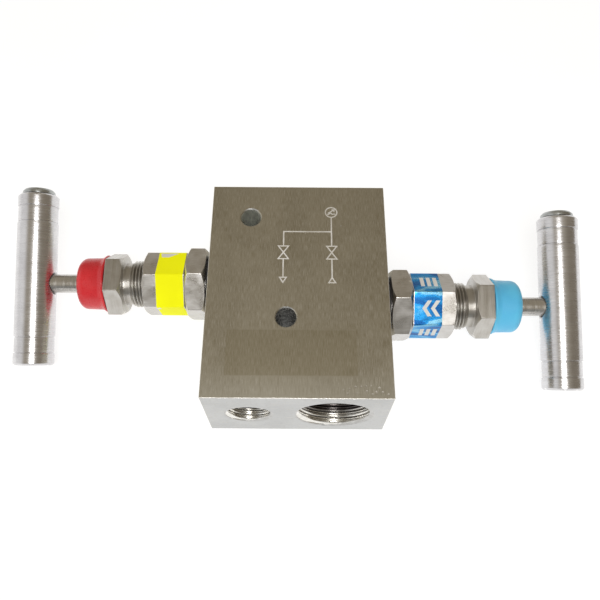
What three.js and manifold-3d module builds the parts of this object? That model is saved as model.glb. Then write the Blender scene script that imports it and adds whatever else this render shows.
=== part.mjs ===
// Two-valve block-and-bleed needle valve manifold, in millimetres.
// +X runs towards the isolation valve, +Y towards the gauge port, +Z up out of the engraved face.
// The origin is the centre of the block's bottom face. Every piece that sits on a valve's axis is
// drawn in that valve's own frame: local Y points outward along the stem, and a "station" is the
// distance from the block's middle plane. Stems and handles are drawn shut, then lifted off the seat.

import * as THREE from 'three';
import { mergeVertices } from 'three/addons/utils/BufferGeometryUtils.js';
import Module from 'manifold-3d';

const wasm = await Module();
wasm.setup();

const GAP = 0.3;        // clearance between neighbouring pieces
const OVERCUT = 0.5;    // how far a cutter runs past the face that it cuts
const FACE_LEFT = 0.1;  // how far outside a hexagon's flats the chamfer of an end face begins

// Sides of the polygons that stand for circles.
const COARSE = 16;
const MIDDLE = 20;
const FINE = 24;

const BLOCK = { width: 54, depth: 70, height: 32 };
const FRONT = -BLOCK.depth / 2;
const BACK = BLOCK.depth / 2;
const SIDE = BLOCK.width / 2;
const AXIS_Z = BLOCK.height / 2;

// Taper pipe ports, bored to the mean diameter of their threads.
const HALF_INCH_PORT = { mouth: 11.6, chamfer: 1.4, bore: 10.2, end: 9.4, depth: 19, sides: 28 };
const QUARTER_INCH_PORT = { mouth: 7.2, chamfer: 0.9, bore: 6.3, end: 5.8, depth: 14, sides: 24 };
const MAIN_PORT_X = 11;
const VENT_PORT_X = -14.2;

const MOUNT_HOLE = { radius: 3.05, mouth: 3.3, chamfer: 0.3, sides: 16 };
const MOUNT_HOLES = [[-14.8, 23.5], [-3.4, -10.5]];

// Flow drillings, with the valves' seats and chambers as stations on the valve axes.
const DRILLING = { inletX: 8.5, inlet: 2.5, gaugeX: 15.2, gauge: 2.2, ventX: -15.2, vent: 2.0 };
const SEAT = { bore: 2.0, station: 13 };
const CHAMBER = { radius: 4.9, end: 17.6 };
const BONNET_SOCKET = 7.3;

const VALVES = [
  { name: 'vent', side: -1, y: 8.0, lift: 3.15, nutClock: 40, bonnetClock: 40, glandClock: 8,
    barClock: 22, bandColour: 0xf2ea10, capColour: 0xd62a2c },
  { name: 'isolate', side: 1, y: 0.9, lift: 2.0, nutClock: 43, bonnetClock: 30, glandClock: 16,
    barClock: 19.5, bandColour: 0x1f6fc4, capColour: 0x4aa3de },
];

const SEAL_RING = { inner: 7.3, outer: 9.2, from: 27.3, to: 28.6 };
const LOCK_NUT = { flats: 20.6, bore: 7.3, from: 28.9, to: 35.0, chamfer: 0.95 };
const BONNET = {
  shank: 7.0, from: 18.0, hexFrom: 35.3, bandTo: 44.45, to: 48.5, flats: 18, bandFlats: 16.9,
  chamfer: 0.6, threadBore: 4.2, backSeat: 3.3, backSeatFrom: 37.3, backSeatTo: 38.3,
  packingBore: 5.2, packingTo: 44.7, glandBore: 7.7,
};
const BAND = { innerFlats: 17.4, outerFlats: 18.1, from: 35.45, to: 44.15 };
const GLAND = {
  thread: 7.4, from: 45.0, threadTo: 51.8, neck: 6.65, hexFrom: 55.1, hexTo: 60.4, flats: 18,
  chamfer: 1.0, boss: 6.8, to: 66.9, bore: 3.3,
};
const PACKING_STACK = [
  { name: 'packing_washer', from: 38.6, to: 39.3, colour: 0x9a9c9c, metal: true },
  { name: 'packing_ring_lower', from: 39.6, to: 40.7, colour: 0xe8e6dc, metal: false },
  { name: 'packing_ring_upper', from: 41.0, to: 42.1, colour: 0xe8e6dc, metal: false },
  { name: 'gland_follower', from: 42.4, to: 44.7, colour: 0x9a9c9c, metal: true },
];
const PACKING = { inner: 3.35, outer: 4.9 };
const CAP = {
  bore: 7.1, outer: 8.3, lip: 9.05, from: 60.7, lipTo: 61.6, webFrom: 68.4, to: 69.6, hole: 3.3, fillet: 3.0,
};

// Drawn with the valve shut.
const NEEDLE = {
  bluntFrom: 10.6, blunt: 0.6, coneTo: 14.7, shank: 3.0, shankTo: 17.2, neck: 1.4, headFrom: 19.2, head: 2.0,
  to: 20.4,
};
const STEM = {
  from: 17.5, foot: 3.6, lip: 1.7, socket: 2.3, socketFrom: 18.9, socketTo: 20.8, threadFrom: 21.5, thread: 3.9,
  threadTo: 32.1, coneTo: 33.0, rod: 3.0, tappedBore: 1.8,
};
const HANDLE = {
  station: 81.5, radius: 6.3, rear: 28.6, front: 26.3, collar: 3.8, groove: 0.35, grooveRadius: 5.9,
  ring: 5.0, ringRadius: 6.1, edge: 0.6, crossBore: 3.3, crossTo: 1.0, rearBore: 4.2, rearBoreFrom: 14,
};
const PLUG = { shank: 3.9, from: 18, base: 5.1, top: 4.2, height: 1.7 };
const SCREW = { shank: 1.5, tip: -4.0, headFrom: 2.9, headTo: 5.4, head: 2.8, socket: 1.4, socketDepth: 1.6, web: 2.6 };

const STEEL = { roughness: 0.35, metalness: 1.0 };
const COLOURS = { block: 0x9b9486, nut: 0x9a9386, bright: 0xb4b4b2, inner: 0xa2a4a6, seal: 0x2b2b2e };

// --- Solids ---------------------------------------------------------------------------------

function solidOf(geometry) {
  const bare = geometry.clone();
  bare.deleteAttribute('normal');
  bare.deleteAttribute('uv');
  const merged = mergeVertices(bare, 1e-4);
  const corners = merged.index.array;
  const kept = [];
  for (let i = 0; i < corners.length; i += 3) {
    const [a, b, c] = [corners[i], corners[i + 1], corners[i + 2]];
    if (a !== b && b !== c && c !== a) kept.push(a, b, c);
  }
  const mesh = new wasm.Mesh({
    numProp: 3,
    vertProperties: new Float32Array(merged.attributes.position.array),
    triVerts: new Uint32Array(kept),
  });
  return new wasm.Manifold(mesh);
}

function geometryOf(solid) {
  const mesh = solid.getMesh();
  const geometry = new THREE.BufferGeometry();
  geometry.setAttribute('position', new THREE.BufferAttribute(mesh.vertProperties, 3));
  geometry.setIndex(new THREE.BufferAttribute(mesh.triVerts, 1));
  geometry.computeVertexNormals();
  return geometry;
}

// A solid turned about local Y from [radius, station] points, from the axis back to the axis.
function turned(profile, sides) {
  const points = profile.map(([radius, station]) => new THREE.Vector2(radius, station));
  return solidOf(new THREE.LatheGeometry(points, sides));
}

function rod(radius, from, to, sides) {
  return turned([[0, from], [radius, from], [radius, to], [0, to]], sides);
}

function ring(inner, outer, from, to, sides) {
  return turned([[inner, from], [outer, from], [outer, to], [inner, to], [inner, from]], sides);
}

// A hexagonal bar with one corner towards local +Z. At each end with a chamfer its corners are turned
// away by a cone, which reaches the corners' own radius at that depth from the end face.
function hexagon(flats, from, to, startChamfer, endChamfer) {
  const corner = flats / 2 / Math.cos(Math.PI / 6);
  const face = flats / 2 + FACE_LEFT;
  const prism = new THREE.CylinderGeometry(corner, corner, to - from, 6);
  prism.translate(0, (from + to) / 2, 0);
  const clear = corner + OVERCUT;
  const coneLength = (chamfer) => chamfer * (clear - face) / (corner - face);
  const envelope = [
    [0, from],
    [startChamfer > 0 ? face : clear, from],
    [clear, from + coneLength(startChamfer)],
    [clear, to - coneLength(endChamfer)],
    [endChamfer > 0 ? face : clear, to],
    [0, to],
  ];
  return solidOf(prism).intersect(turned(envelope, 2 * FINE));
}

// --- Block ----------------------------------------------------------------------------------

// A cutter drawn along local Y, laid down so that local Y points along the given direction.
function aimed(solid, direction, origin) {
  const turn = new THREE.Quaternion().setFromUnitVectors(new THREE.Vector3(0, 1, 0), direction);
  const matrix = new THREE.Matrix4().compose(origin, turn, new THREE.Vector3(1, 1, 1));
  const geometry = geometryOf(solid).applyMatrix4(matrix);
  return solidOf(geometry);
}

function portCutter(port, x, faceY) {
  const inward = new THREE.Vector3(0, faceY < 0 ? 1 : -1, 0);
  const solid = turned([
    [0, -OVERCUT],
    [port.mouth + OVERCUT, -OVERCUT],
    [port.bore, port.chamfer],
    [port.end, port.depth],
    [0, port.depth],
  ], port.sides);
  return aimed(solid, inward, new THREE.Vector3(x, faceY, AXIS_Z));
}

function mountHoleCutter([x, y]) {
  const { radius, mouth, chamfer, sides } = MOUNT_HOLE;
  const solid = turned([
    [0, -OVERCUT],
    [mouth + OVERCUT, -OVERCUT],
    [radius, chamfer],
    [radius, BLOCK.height - chamfer],
    [mouth + OVERCUT, BLOCK.height + OVERCUT],
    [0, BLOCK.height + OVERCUT],
  ], sides);
  return aimed(solid, new THREE.Vector3(0, 0, 1), new THREE.Vector3(x, y, 0));
}

function valveCavityCutter(valve, boreFrom) {
  const solid = turned([
    [0, boreFrom],
    [SEAT.bore, boreFrom],
    [SEAT.bore, SEAT.station],
    [CHAMBER.radius, SEAT.station],
    [CHAMBER.radius, CHAMBER.end],
    [BONNET_SOCKET, CHAMBER.end],
    [BONNET_SOCKET, SIDE + OVERCUT],
    [0, SIDE + OVERCUT],
  ], MIDDLE);
  return aimed(solid, new THREE.Vector3(valve.side, 0, 0), new THREE.Vector3(0, valve.y, AXIS_Z));
}

function drillingCutter(radius, x, fromY, toY) {
  const length = toY - fromY;
  return aimed(rod(radius, 0, length, COARSE), new THREE.Vector3(0, 1, 0), new THREE.Vector3(x, fromY, AXIS_Z));
}

function block() {
  const [vent, isolate] = VALVES;
  const inletEnd = FRONT + HALF_INCH_PORT.depth;
  const gaugeEnd = BACK - HALF_INCH_PORT.depth;
  const ventEnd = FRONT + QUARTER_INCH_PORT.depth;
  const box = new THREE.BoxGeometry(BLOCK.width, BLOCK.depth, BLOCK.height);
  box.translate(0, 0, AXIS_Z);
  const cutters = [
    portCutter(HALF_INCH_PORT, MAIN_PORT_X, FRONT),
    portCutter(HALF_INCH_PORT, MAIN_PORT_X, BACK),
    portCutter(QUARTER_INCH_PORT, VENT_PORT_X, FRONT),
    ...MOUNT_HOLES.map(mountHoleCutter),
    valveCavityCutter(isolate, DRILLING.inletX),
    valveCavityCutter(vent, -DRILLING.gaugeX),
    drillingCutter(DRILLING.inlet, DRILLING.inletX, inletEnd - OVERCUT, isolate.y + SEAT.bore),
    drillingCutter(DRILLING.gauge, DRILLING.gaugeX, isolate.y, gaugeEnd + OVERCUT),
    drillingCutter(DRILLING.vent, DRILLING.ventX, ventEnd - OVERCUT, vent.y),
  ];
  return cutters.reduce((rest, cutter) => rest.subtract(cutter), solidOf(box));
}

// --- Fixed pieces on a valve's axis ---------------------------------------------------------

function lockNut() {
  const { flats, bore, from, to, chamfer } = LOCK_NUT;
  return hexagon(flats, from, to, chamfer, chamfer).subtract(rod(bore, from - OVERCUT, to + OVERCUT, MIDDLE));
}

function bonnet() {
  const b = BONNET;
  const bores = turned([
    [0, b.from - OVERCUT],
    [b.threadBore, b.from - OVERCUT],
    [b.threadBore, b.backSeatFrom],
    [b.backSeat, b.backSeatFrom],
    [b.backSeat, b.backSeatTo],
    [b.packingBore, b.backSeatTo],
    [b.packingBore, b.packingTo],
    [b.glandBore, b.packingTo],
    [b.glandBore, b.to + OVERCUT],
    [0, b.to + OVERCUT],
  ], MIDDLE);
  return rod(b.shank, b.from, b.bandTo, MIDDLE)
    .add(hexagon(b.bandFlats, b.hexFrom, b.bandTo + OVERCUT, 0, 0))
    .add(hexagon(b.flats, b.bandTo, b.to, 0, b.chamfer))
    .subtract(bores);
}

function colourBand() {
  const { innerFlats, outerFlats, from, to } = BAND;
  return hexagon(outerFlats, from, to, 0, 0)
    .subtract(hexagon(innerFlats, from - OVERCUT, to + OVERCUT, 0, 0));
}

function glandBolt() {
  const g = GLAND;
  return rod(g.thread, g.from, g.threadTo, FINE)
    .add(rod(g.neck, g.from, g.to - OVERCUT, FINE))
    .add(hexagon(g.flats, g.hexFrom, g.hexTo, g.chamfer, 0))
    .add(rod(g.boss, g.hexTo - OVERCUT, g.to, MIDDLE))
    .subtract(rod(g.bore, g.from - OVERCUT, g.to + OVERCUT, COARSE));
}

function dustCap() {
  const c = CAP;
  const centre = { radius: c.outer - c.fillet, station: c.to - c.fillet };
  const steps = 3;
  const fillet = Array.from({ length: steps + 1 }, (_, i) => {
    const angle = (i / steps) * Math.PI / 2;
    return [centre.radius + c.fillet * Math.cos(angle), centre.station + c.fillet * Math.sin(angle)];
  });
  return turned([
    [c.bore, c.from], [c.lip, c.from], [c.lip, c.lipTo], [c.outer, c.lipTo], ...fillet,
    [c.hole, c.to], [c.hole, c.webFrom], [c.bore, c.webFrom], [c.bore, c.from],
  ], FINE);
}

// --- Moving pieces, drawn shut --------------------------------------------------------------

function needleTip() {
  const n = NEEDLE;
  return turned([
    [0, n.bluntFrom], [n.blunt, n.bluntFrom], [n.shank, n.coneTo], [n.shank, n.shankTo],
    [n.neck, n.shankTo], [n.neck, n.headFrom], [n.head, n.headFrom], [n.head, n.to], [0, n.to],
  ], MIDDLE);
}

function stem() {
  const s = STEM;
  const end = HANDLE.station + HANDLE.crossTo - GAP;
  const tapFrom = HANDLE.station + SCREW.tip - GAP;
  return turned([
    [0, s.socketTo], [s.socket, s.socketTo], [s.socket, s.socketFrom], [s.lip, s.socketFrom], [s.lip, s.from],
    [s.foot, s.from], [s.foot, s.threadFrom], [s.thread, s.threadFrom], [s.thread, s.threadTo],
    [s.rod, s.coneTo], [s.rod, end], [s.tappedBore, end], [s.tappedBore, tapFrom], [0, tapFrom],
  ], MIDDLE);
}

// Outline of one end of the handle bar, from its barrel out to the end face: a groove, a slightly
// slimmer ring, a second groove and the end collar.
function barEnd(length) {
  const h = HANDLE;
  const collarFrom = length - h.collar;
  const ringFrom = collarFrom - h.ring;
  return [
    [h.radius, ringFrom - h.groove], [h.grooveRadius, ringFrom - h.groove], [h.grooveRadius, ringFrom],
    [h.ringRadius, ringFrom], [h.ringRadius, collarFrom - h.groove], [h.grooveRadius, collarFrom - h.groove],
    [h.grooveRadius, collarFrom], [h.radius, collarFrom], [h.radius, length - h.edge],
    [h.radius - h.edge, length],
  ];
}

// The bar's own frame: local Y along the bar towards its plugged rear end, local Z along the stem.
function handleBar() {
  const h = HANDLE;
  const front = barEnd(h.front).map(([radius, station]) => [radius, -station]).reverse();
  const outside = turned([[0, -h.front], ...front, ...barEnd(h.rear), [0, h.rear]], FINE);
  const rearBore = rod(h.rearBore, h.rearBoreFrom, h.rear + OVERCUT, MIDDLE);
  const alongStem = new THREE.Vector3(0, 0, 1);
  const centre = new THREE.Vector3();
  const stemBore = aimed(rod(h.crossBore, -h.radius - OVERCUT, h.crossTo, COARSE), alongStem, centre);
  const screwBore = aimed(rod(SCREW.shank + GAP, 0, h.radius, COARSE), alongStem, centre);
  const headBore = aimed(rod(SCREW.head + GAP, SCREW.web, h.radius + OVERCUT, COARSE), alongStem, centre);
  return outside.subtract(rearBore).subtract(stemBore).subtract(screwBore).subtract(headBore);
}

function handlePlug() {
  const seat = HANDLE.rear + GAP;
  return turned([
    [0, PLUG.from], [PLUG.shank, PLUG.from], [PLUG.shank, seat], [PLUG.base, seat],
    [PLUG.top, seat + PLUG.height], [0, seat + PLUG.height],
  ], MIDDLE);
}

function handleScrew() {
  const s = SCREW;
  const body = turned([
    [0, s.tip], [s.shank, s.tip], [s.shank, s.headFrom], [s.head, s.headFrom], [s.head, s.headTo], [0, s.headTo],
  ], COARSE);
  const socket = rod(s.socket, s.headTo - s.socketDepth, s.headTo + OVERCUT, 6);
  return aimed(body.subtract(socket), new THREE.Vector3(0, 0, 1), new THREE.Vector3());
}

// --- Assembly -------------------------------------------------------------------------------

function piece(name, solid, colour, finish = STEEL) {
  const mesh = new THREE.Mesh(geometryOf(solid), new THREE.MeshStandardMaterial({ color: colour, ...finish }));
  mesh.name = name;
  return mesh;
}

// The direction, in a valve's frame, that lies at this many degrees from the block's +Y towards +Z.
function clockDirection(valve, degrees) {
  const angle = THREE.MathUtils.degToRad(degrees);
  return new THREE.Vector3(-valve.side * Math.cos(angle), 0, Math.sin(angle));
}

// Turns a hexagonal piece about the valve's axis so that one corner points that way.
function clocked(mesh, valve, degrees) {
  mesh.quaternion.setFromUnitVectors(new THREE.Vector3(0, 0, 1), clockDirection(valve, degrees));
  return mesh;
}

function handle(valve) {
  const group = new THREE.Group();
  const along = clockDirection(valve, valve.barClock);
  const outward = new THREE.Vector3(0, 1, 0);
  const across = new THREE.Vector3().crossVectors(along, outward);
  group.quaternion.setFromRotationMatrix(new THREE.Matrix4().makeBasis(across, along, outward));
  group.position.y = HANDLE.station;
  group.add(
    piece(`${valve.name}_handle_bar`, handleBar(), COLOURS.bright, { roughness: 0.25, metalness: 1.0 }),
    piece(`${valve.name}_handle_plug`, handlePlug(), COLOURS.nut),
    piece(`${valve.name}_handle_screw`, handleScrew(), COLOURS.inner),
  );
  return group;
}

function valveAssembly(valve) {
  const plastic = { roughness: 0.45, metalness: 0.0 };
  const group = new THREE.Group();
  group.position.set(0, valve.y, AXIS_Z);
  group.rotation.z = -valve.side * Math.PI / 2;
  const sealRing = ring(SEAL_RING.inner, SEAL_RING.outer, SEAL_RING.from, SEAL_RING.to, MIDDLE);
  group.add(
    piece(`${valve.name}_bonnet_seal_ring`, sealRing, COLOURS.seal, plastic),
    clocked(piece(`${valve.name}_bonnet_lock_nut`, lockNut(), COLOURS.nut), valve, valve.nutClock),
    clocked(piece(`${valve.name}_bonnet`, bonnet(), COLOURS.nut), valve, valve.bonnetClock),
    clocked(piece(`${valve.name}_colour_band`, colourBand(), valve.bandColour, plastic), valve, valve.bonnetClock),
    clocked(piece(`${valve.name}_gland_bolt`, glandBolt(), COLOURS.nut), valve, valve.glandClock),
    piece(`${valve.name}_dust_cap`, dustCap(), valve.capColour, plastic),
  );
  for (const { name, from, to, colour, metal } of PACKING_STACK) {
    const solid = ring(PACKING.inner, PACKING.outer, from, to, COARSE);
    group.add(piece(`${valve.name}_${name}`, solid, colour, metal ? STEEL : plastic));
  }
  const moving = new THREE.Group();
  moving.position.y = valve.lift;
  moving.add(
    piece(`${valve.name}_needle_tip`, needleTip(), COLOURS.inner),
    piece(`${valve.name}_stem`, stem(), COLOURS.inner),
    handle(valve),
  );
  group.add(moving);
  return group;
}

const manifoldBlock = new THREE.Group();
manifoldBlock.add(piece('block', block(), COLOURS.block, { roughness: 0.4, metalness: 1.0 }));
VALVES.forEach((valve) => manifoldBlock.add(valveAssembly(valve)));

export default manifoldBlock;
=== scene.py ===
"""The looks of a two-valve instrument manifold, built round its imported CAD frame.

Lengths are in millimetres until a mesh is finished, when MM turns them into Blender's metres. A piece
on a valve is drawn in that valve's frame: local Y runs outward along the stem, and a station is the
distance along it from the block's middle plane. A handle bar is drawn along its own local Y, with
local Z along the stem.
"""

import math
import random

import bmesh
import bpy
from mathutils import Matrix, Vector, noise


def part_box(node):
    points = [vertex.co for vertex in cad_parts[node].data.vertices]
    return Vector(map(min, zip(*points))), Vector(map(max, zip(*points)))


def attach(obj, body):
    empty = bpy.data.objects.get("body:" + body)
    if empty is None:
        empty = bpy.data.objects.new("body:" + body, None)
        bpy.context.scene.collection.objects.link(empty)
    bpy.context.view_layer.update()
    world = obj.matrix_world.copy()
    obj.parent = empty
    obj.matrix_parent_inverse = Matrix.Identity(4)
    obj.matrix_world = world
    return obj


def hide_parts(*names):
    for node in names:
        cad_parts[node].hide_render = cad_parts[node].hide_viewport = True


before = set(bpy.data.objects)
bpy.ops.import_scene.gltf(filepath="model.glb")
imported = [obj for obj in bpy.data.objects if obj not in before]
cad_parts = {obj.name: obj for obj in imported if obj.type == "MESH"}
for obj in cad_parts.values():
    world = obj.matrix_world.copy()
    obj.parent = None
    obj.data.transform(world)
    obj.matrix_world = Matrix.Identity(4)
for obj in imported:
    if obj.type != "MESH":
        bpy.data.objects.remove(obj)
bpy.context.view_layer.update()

MM = 0.001
TAU = math.tau
UP = Vector((0, 0, 1))

# Hexagons, across flats, and the directions of one corner of each, in degrees from the block's +Y
# towards +Z. They repeat the CAD model's.
LOCK_NUT_FLATS = 20.6
BONNET_FLATS = 18.0
GLAND_FLATS = 18.0
VALVES = {
    "vent": {"side": -1, "nut_clock": 40, "bonnet_clock": 40, "gland_clock": 8, "bar_clock": 22},
    "isolate": {"side": 1, "nut_clock": 43, "bonnet_clock": 30, "gland_clock": 16, "bar_clock": 19.5},
}

# Taper pipe threads, one in sixteen on the diameter. Radii are at the block's face.
HALF_INCH = {"pitch": 1.814, "root": 11.35, "crest": 10.45, "mouth": 11.75, "threaded": 15.0, "depth": 19.0}
QUARTER_INCH = {"pitch": 1.411, "root": 7.0, "crest": 6.3, "mouth": 7.3, "threaded": 11.0, "depth": 14.0}
PIPE_TAPER = 1 / 32
MAIN_PORT_X = 11.0
VENT_PORT_X = -14.2
MOUNT_HOLES = [(-14.8, 23.5), (-3.4, -10.5)]
MOUNT_HOLE_RADIUS = 3.05

# Stations and radii of the pieces on a valve. They follow the CAD model's to within 0.1, apart from the
# bands, which are thinner, and the gland bolt's thread, which runs 0.8 further along.
SEAL_RING = {"inner": 7.3, "outer": 9.2}
LOCK_NUT = {"from": 28.9, "to": 35.0, "bore": 7.3}
BONNET = {
    "from": 18.0, "hex_from": 35.3, "to": 48.5, "shank": 7.0, "thread_bore": 4.2, "back_seat": 3.3,
    "back_seat_from": 37.3, "back_seat_to": 38.3, "packing_bore": 5.2, "packing_to": 44.7,
    "gland_bore": 7.7,
}
BAND = {"from": 35.6, "to": 44.15, "thickness": 0.07, "round": 0.6}
GLAND = {
    "from": 45.0, "thread_to": 52.6, "neck": 6.65, "hex_from": 55.1, "hex_to": 60.4, "boss": 6.8,
    "to": 66.9, "bore": 3.3,
}
GLAND_THREAD = {"crest": 7.45, "root": 6.6, "pitch": 1.0}
CAP = {"from": 60.7, "to": 69.6, "web": 68.4, "bore": 7.1, "outer": 8.25, "hole": 3.3}
STUFFING_RING = {"inner": 3.35, "outer": 4.9}
NEEDLE = {
    "from": 10.6, "blunt": 0.6, "cone_to": 14.7, "shank": 3.0, "shank_to": 17.2, "neck": 1.4,
    "head_from": 19.2, "head": 2.0, "to": 20.4,
}
STEM = {
    "from": 17.5, "foot": 3.6, "lip": 1.7, "socket": 2.3, "socket_from": 18.9, "socket_to": 20.8,
    "thread_from": 21.5, "thread_to": 32.1, "cone_to": 33.0, "rod": 3.0, "to": 82.2, "tapped": 1.8,
    "tapped_from": 77.2,
}
STEM_THREAD = {"crest": 3.9, "root": 3.35, "pitch": 1.0}
HANDLE = {
    "radius": 6.3, "slim": 5.9, "ring_radius": 6.1, "groove": 0.4, "edge": 0.6, "collar": 3.8, "ring": 5.0,
    "front": 26.3, "rear": 28.6,
}

# Slopes of the turned-off corners: how far the cone runs along the axis for each millimetre outward.
NUT_CHAMFER, BONNET_CHAMFER, GLAND_CHAMFER = 0.62, 0.46, 0.77
FACE_LEFT = 0.1         # how far outside the flats such a cone ends
EDGE_BREAK = 0.12       # on a hexagon's square end


# --- Places from the frame --------------------------------------------------------------------

def box_mm(node):
    low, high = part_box(node)
    return low / MM, high / MM


BLOCK_LOW, BLOCK_HIGH = box_mm("block")


def stations(valve, part):
    """The lowest and highest station that a CAD node of this valve reaches."""
    low, high = box_mm(f"{valve}_{part}")
    return sorted((abs(low.x), abs(high.x)))


def axes_matrix(x, y, z, origin):
    """A frame with these axes at this origin, in millimetres; it turns local metres into world metres."""
    matrix = Matrix((x, y, z)).transposed().to_4x4()
    matrix.translation = origin * MM
    return matrix


def valve_frame(valve):
    low, high = box_mm(f"{valve}_dust_cap")
    side = VALVES[valve]["side"]
    origin = Vector((0, (low.y + high.y) / 2, (low.z + high.z) / 2))
    return axes_matrix(Vector((0, -side, 0)), Vector((side, 0, 0)), UP, origin)


def clocked_frame(valve, degrees):
    """The valve's frame turned about its stem so that local Z points this far from +Y towards +Z."""
    angle = math.radians(degrees)
    local = math.atan2(-VALVES[valve]["side"] * math.cos(angle), math.sin(angle))
    return valve_frame(valve) @ Matrix.Rotation(local, 4, "Y")


def bar_frame(valve):
    low, high = box_mm(f"{valve}_handle_bar")
    base = valve_frame(valve)
    angle = math.radians(VALVES[valve]["bar_clock"])
    along = Vector((0, math.cos(angle), math.sin(angle)))
    outward = Vector((VALVES[valve]["side"], 0, 0))
    origin = base.translation / MM
    origin.x = (low.x + high.x) / 2
    return axes_matrix(along.cross(outward), along, outward, origin)


# --- Mesh building ----------------------------------------------------------------------------

def filleted(points, closed=False):
    """The outline with an arc at each point that carries a third number, its fillet radius. A fourth
    number is how many segments that arc has."""
    outline = []
    for i, point in enumerate(points):
        here = Vector(point[:2])
        radius = point[2] if len(point) > 2 else 0
        if not radius:
            outline.append(tuple(here))
            continue
        back = Vector(points[i - 1][:2]) - here
        on = Vector(points[(i + 1) % len(points)][:2]) - here
        half = back.angle(on) / 2
        reach = min(radius / math.tan(half), 0.48 * back.length, 0.48 * on.length)
        middle = (back.normalized() + on.normalized()).normalized()
        centre = here + middle * (reach / math.cos(half))
        start = here + back.normalized() * reach - centre
        turn = math.pi - 2 * half
        sign = 1 if start.cross(here + on.normalized() * reach - centre) > 0 else -1
        steps = point[3] if len(point) > 3 else 4
        for k in range(steps + 1):
            angle = sign * turn * k / steps
            spun = Matrix.Rotation(angle, 2) @ start
            outline.append(tuple(centre + spun))
    if closed:
        outline.append(outline[0])
    return outline


def round_angles(count):
    return [TAU * i / count for i in range(count + 1)]


SHORT_SPAN = 0.8
THREAD_SPAN = 1.7       # longer than any flank of a thread, so that those stay whole


def span_counts(outline, longest):
    """How many pieces each span of an outline is cut into, so that none is long."""
    return [max(1, math.ceil(math.dist(a, b) / longest)) for a, b in zip(outline, outline[1:])]


def subdivided(outline, counts):
    fine = [outline[0]]
    for (r0, s0), (r1, s1), count in zip(outline, outline[1:], counts):
        fine += [(r0 + (r1 - r0) * k / count, s0 + (s1 - s0) * k / count) for k in range(1, count + 1)]
    return fine


def swept(rows_at, angles, longest=SHORT_SPAN):
    """A skin about local Y. rows_at(angle) lists its (radius, station) points at that angle."""
    bm = bmesh.new()
    last = None
    counts = span_counts(rows_at(angles[0]), longest)
    for angle in angles:
        sine, cosine = math.sin(angle), math.cos(angle)
        column = [bm.verts.new((r * sine, s, r * cosine)) for r, s in subdivided(rows_at(angle), counts)]
        if last:
            for i in range(len(column) - 1):
                bm.faces.new((last[i], column[i], column[i + 1], last[i + 1]))
        last = column
    return cleaned(bm)


def cleaned(bm):
    bmesh.ops.remove_doubles(bm, verts=bm.verts, dist=2e-4)
    bmesh.ops.dissolve_degenerate(bm, dist=1e-4, edges=bm.edges)
    bmesh.ops.recalc_face_normals(bm, faces=bm.faces)
    return bm


def turned(points, count=96, closed=False):
    outline = filleted(points, closed)
    return swept(lambda angle: outline, round_angles(count))


def ring(inner, outer, start, end, fillet, count=96):
    corners = [(inner, start), (outer, start), (outer, end), (inner, end)]
    return turned([(r, s, fillet) for r, s in corners], count, closed=True)


class Hexagon:
    """A hexagon with rounded corners, one of them at angle 0."""

    def __init__(self, flats, corner_round=0.3, per_side=14):
        self.apothem = flats / 2
        self.round = corner_round
        self.centre = (self.apothem - corner_round) / math.cos(math.pi / 6)
        tangent = (self.apothem - corner_round) * math.tan(math.pi / 6)
        self.edge = math.pi / 6 - math.atan(tangent / self.apothem)
        self.per_side = per_side

    def radius(self, angle):
        offset = (angle + math.pi / 6) % (math.pi / 3) - math.pi / 6
        if abs(offset) < self.edge:
            across = self.centre * math.sin(offset)
            return self.centre * math.cos(offset) + math.sqrt(self.round ** 2 - across ** 2)
        return self.apothem / math.cos(math.pi / 6 - abs(offset))

    def angles(self):
        """Angles round the hexagon, closer together where a corner is rounded."""
        side = [-self.edge, -self.edge / 2, 0, self.edge / 2, self.edge]
        gap = (math.pi / 3 - 2 * self.edge) / self.per_side
        side += [self.edge + gap * i for i in range(1, self.per_side)]
        found = [corner * math.pi / 3 + angle for corner in range(6) for angle in side]
        return found + [found[0] + TAU]

    def chamfered(self, angle, start, end, start_slope, end_slope, fillet=0.12):
        """Outline of the hexagon at one angle. A slope of 0 leaves that end square, with its edge broken."""
        radius = self.radius(angle)
        broken = radius - EDGE_BREAK
        turned_off = min(self.apothem + FACE_LEFT, radius - 0.03)
        near, far = (turned_off if slope else broken for slope in (start_slope, end_slope))
        return [
            (near, start, fillet),
            (radius, start + (radius - near) * (start_slope or 1), fillet),
            (radius, end - (radius - far) * (end_slope or 1), fillet),
            (far, end, fillet),
        ]


# One turn of a thread, as (share of the pitch, share of its depth below the crest).
SHARP_THREAD = [(0.06, 0), (0.44, 1), (0.56, 1), (0.94, 0)]
WORN_THREAD = [(i / 12, 0.5 - 0.5 * math.cos(TAU * i / 12)) for i in range(12)]


def thread_column(start, end, angle, thread, taper=0.0, chamfer=0.0, form=SHARP_THREAD):
    """One column of a right-hand thread between two stations. Its ends are square or, with a chamfer, at
    45 degrees."""
    pitch, crest, root = thread["pitch"], thread["crest"], thread["root"]
    shape = [(fraction, crest + (root - crest) * depth) for fraction, depth in form]
    lead = pitch * angle / TAU
    first = math.floor(start / pitch) - 2
    turns = math.ceil((end - start) / pitch) + 4
    points = []
    for turn in range(first, first + turns):
        for fraction, radius in shape:
            station = lead + (turn + fraction) * pitch
            points.append((radius - taper * station, station))

    def radius_at(station):
        for (r0, s0), (r1, s1) in zip(points, points[1:]):
            if s0 <= station <= s1:
                return r0 + (r1 - r0) * (station - s0) / (s1 - s0)
        return points[0][0]

    column = []
    for radius, station in points:
        held = min(max(station, start), end)
        if held != station:
            radius = radius_at(held)
        if chamfer:
            limit = min(held - start, end - held) + max(crest, root) - chamfer
            radius = min(radius, limit)
        column.append((radius, held))
    return column


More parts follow.
